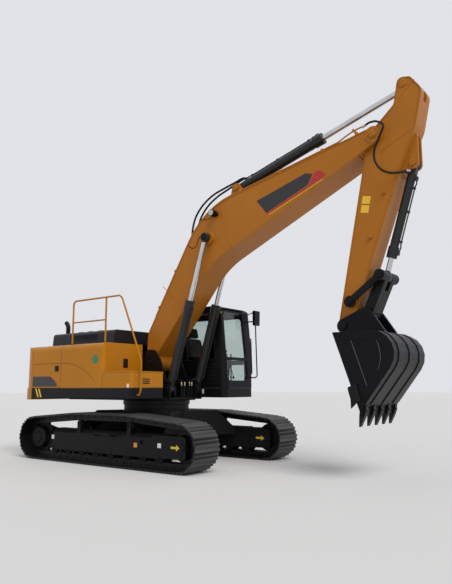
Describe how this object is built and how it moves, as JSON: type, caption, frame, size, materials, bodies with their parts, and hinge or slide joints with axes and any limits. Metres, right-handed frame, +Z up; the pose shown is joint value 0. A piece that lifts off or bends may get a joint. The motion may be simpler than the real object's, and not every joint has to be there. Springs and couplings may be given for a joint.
{
  "type": "crawler excavator",
  "caption": "Tracked excavator with a revolving house, cab, one-piece boom, arm and linkage-driven digging bucket.",
  "frame": {"origin": "on the ground, midway between the counterweight's tail and the arm's furthest reach and midway between the tracks; the swing axis is at x = -1.373 m", "axes": "+X forward along the boom, +Y to the driver's left, +Z up"},
  "size_m": [8.2462, 2.98, 5.9893],
  "materials": {
    "paint": "semi-gloss orange-yellow paint, dusty",
    "black_paint": "satin black paint",
    "steel": "worn dark steel",
    "rod_chrome": "polished hard chrome",
    "glass": "clear tinted glass",
    "seat_fabric": "dark woven cloth",
    "black_plastic": "matt black plastic"
  },
  "bodies": {
    "chassis": {"carbody": "black_paint", "slew_ring": "steel", "track_frame_left": "black_paint", "track_frame_right": "black_paint", "track_left": "steel", "track_right": "steel", "idlers": "black_paint", "sprockets": "steel", "final_drives": "black_paint", "track_rollers": "black_paint"},
    "house": {"upper_frame": "black_paint", "counterweight": "paint", "engine": "steel", "fuel_tank": "paint", "tool_box": "paint", "house_walls": "paint", "top_covers": "black_paint", "exhaust": "black_paint", "lifting_eyes": "paint", "handrail": "paint", "cab_shell": "black_paint", "cab_rear_wall": "black_paint", "cab_glass": "glass", "seat": "seat_fabric", "cab_controls": "black_plastic", "mirror": "black_paint"},
    "toolbox_lid": {"tool_box_lid": "paint"},
    "pump_side_door": {"pump_door": "paint"},
    "radiator_side_door": {"radiator_door": "paint"},
    "filter_side_door": {"filter_door": "paint"},
    "hood": {"engine_hood": "black_paint"},
    "driver_door": {"cab_door": "black_paint", "cab_door_glass": "glass"},
    "boom_body": {"boom": "paint", "boom_pipes": "paint", "work_lamp": "black_paint"},
    "boom_barrels": {"boom_cylinders": "black_paint"},
    "boom_ram_rods": {"boom_rods": "rod_chrome"},
    "arm_body": {"arm": "paint"},
    "arm_barrel": {"arm_cylinder": "black_paint"},
    "arm_ram_rod": {"arm_rod": "rod_chrome"},
    "bucket_body": {"bucket": "black_paint", "bucket_teeth": "black_paint"},
    "bucket_barrel": {"bucket_cylinder": "black_paint"},
    "bucket_ram_rod": {"bucket_rod": "rod_chrome"},
    "lever_links": {"side_links": "black_paint"},
    "bucket_link": {"h_link": "black_paint"}
  },
  "joints": [
    {"name": "swing", "type": "hinge", "parent": "chassis", "child": "house", "pos_m": [-1.37324, 0, 1.09], "axis": [0, 0, 1], "continuous": true},
    {"name": "boom_lift", "type": "hinge", "parent": "house", "child": "boom_body", "pos_m": [-1.24224, 0, 1.801], "axis": [0, -1, 0], "range_deg": [-78, 28]},
    {"name": "boom_cylinder_turn", "type": "hinge", "parent": "house", "child": "boom_barrels", "pos_m": [-0.69324, 0, 1.3], "axis": [0, -1, 0], "range_deg": [-77.84, 27.94]},
    {"name": "boom_cylinder_stroke", "type": "slide", "parent": "boom_barrels", "child": "boom_ram_rods", "axis": [0.2936, 0, 0.9559], "range_m": [-0.88489, 0.31765]},
    {"name": "arm_fold", "type": "hinge", "parent": "boom_body", "child": "arm_body", "pos_m": [3.36602, 0, 5.16757], "axis": [0, 1, 0], "range_deg": [-103, 13]},
    {"name": "arm_cylinder_turn", "type": "hinge", "parent": "boom_body", "child": "arm_barrel", "pos_m": [0.62682, 0, 4.92996], "axis": [0, 1, 0], "range_deg": [-7.21, 0.91]},
    {"name": "arm_cylinder_stroke", "type": "slide", "parent": "arm_barrel", "child": "arm_ram_rod", "axis": [0.9577, 0, 0.2877], "range_m": [-1.37524, 0.17358]},
    {"name": "bucket_curl", "type": "hinge", "parent": "arm_body", "child": "bucket_body", "pos_m": [2.75662, 0, 2.25054], "axis": [0, 1, 0], "range_deg": [-8, 160]},
    {"name": "side_link_turn", "type": "hinge", "parent": "arm_body", "child": "lever_links", "pos_m": [2.8907, 0, 2.60869], "axis": [0, 1, 0], "range_deg": [-5.21, 104.16]},
    {"name": "bucket_link_turn", "type": "hinge", "parent": "lever_links", "child": "bucket_link", "pos_m": [3.38163, 0, 2.96906], "axis": [0, 1, 0], "range_deg": [-56.08, 2.8]},
    {"name": "bucket_cylinder_turn", "type": "hinge", "parent": "arm_body", "child": "bucket_barrel", "pos_m": [3.90201, 0, 4.63776], "axis": [0, 1, 0], "range_deg": [-4.19, 0.21]},
    {"name": "bucket_cylinder_stroke", "type": "slide", "parent": "bucket_barrel", "child": "bucket_ram_rod", "axis": [-0.2977, 0, -0.9547], "range_m": [-0.04727, 0.94528]},
    {"name": "cab_door_swing", "type": "hinge", "parent": "house", "child": "driver_door", "pos_m": [-1.07924, 1.414, 1.4], "axis": [0, 0, 1], "range_deg": [0, 155]},
    {"name": "pump_door_swing", "type": "hinge", "parent": "house", "child": "pump_side_door", "pos_m": [-3.46524, -1.332, 1.4], "axis": [0, 0, -1], "range_deg": [0, 100]},
    {"name": "radiator_door_swing", "type": "hinge", "parent": "house", "child": "radiator_side_door", "pos_m": [-3.46524, 1.332, 1.4], "axis": [0, 0, 1], "range_deg": [0, 100]},
    {"name": "filter_door_swing", "type": "hinge", "parent": "house", "child": "filter_side_door", "pos_m": [-2.57124, 1.332, 1.4], "axis": [0, 0, 1], "range_deg": [0, 100]},
    {"name": "engine_hood_lift", "type": "hinge", "parent": "house", "child": "hood", "pos_m": [-2.47824, 0.9, 2.14], "axis": [-1, 0, 0], "range_deg": [0, 65]},
    {"name": "tool_box_lid_lift", "type": "hinge", "parent": "house", "child": "toolbox_lid", "pos_m": [-1.41524, -0.96, 1.61], "axis": [0, -1, 0], "range_deg": [0, 80]}
  ],
  "couplings": [
    {"joint": "boom_cylinder_turn", "follows": "boom_lift", "ratio": 0.998},
    {"joint": "boom_cylinder_stroke", "follows": "boom_lift", "m_per_rad": 0.65},
    {"joint": "arm_cylinder_turn", "follows": "arm_fold", "ratio": 0.07},
    {"joint": "arm_cylinder_stroke", "follows": "arm_fold", "m_per_rad": 0.765},
    {"joint": "side_link_turn", "follows": "bucket_curl", "ratio": 0.651},
    {"joint": "bucket_link_turn", "follows": "bucket_curl", "ratio": -0.3505},
    {"joint": "bucket_cylinder_turn", "follows": "bucket_curl", "ratio": -0.0262},
    {"joint": "bucket_cylinder_stroke", "follows": "bucket_curl", "m_per_rad": 0.3385}
  ]
}
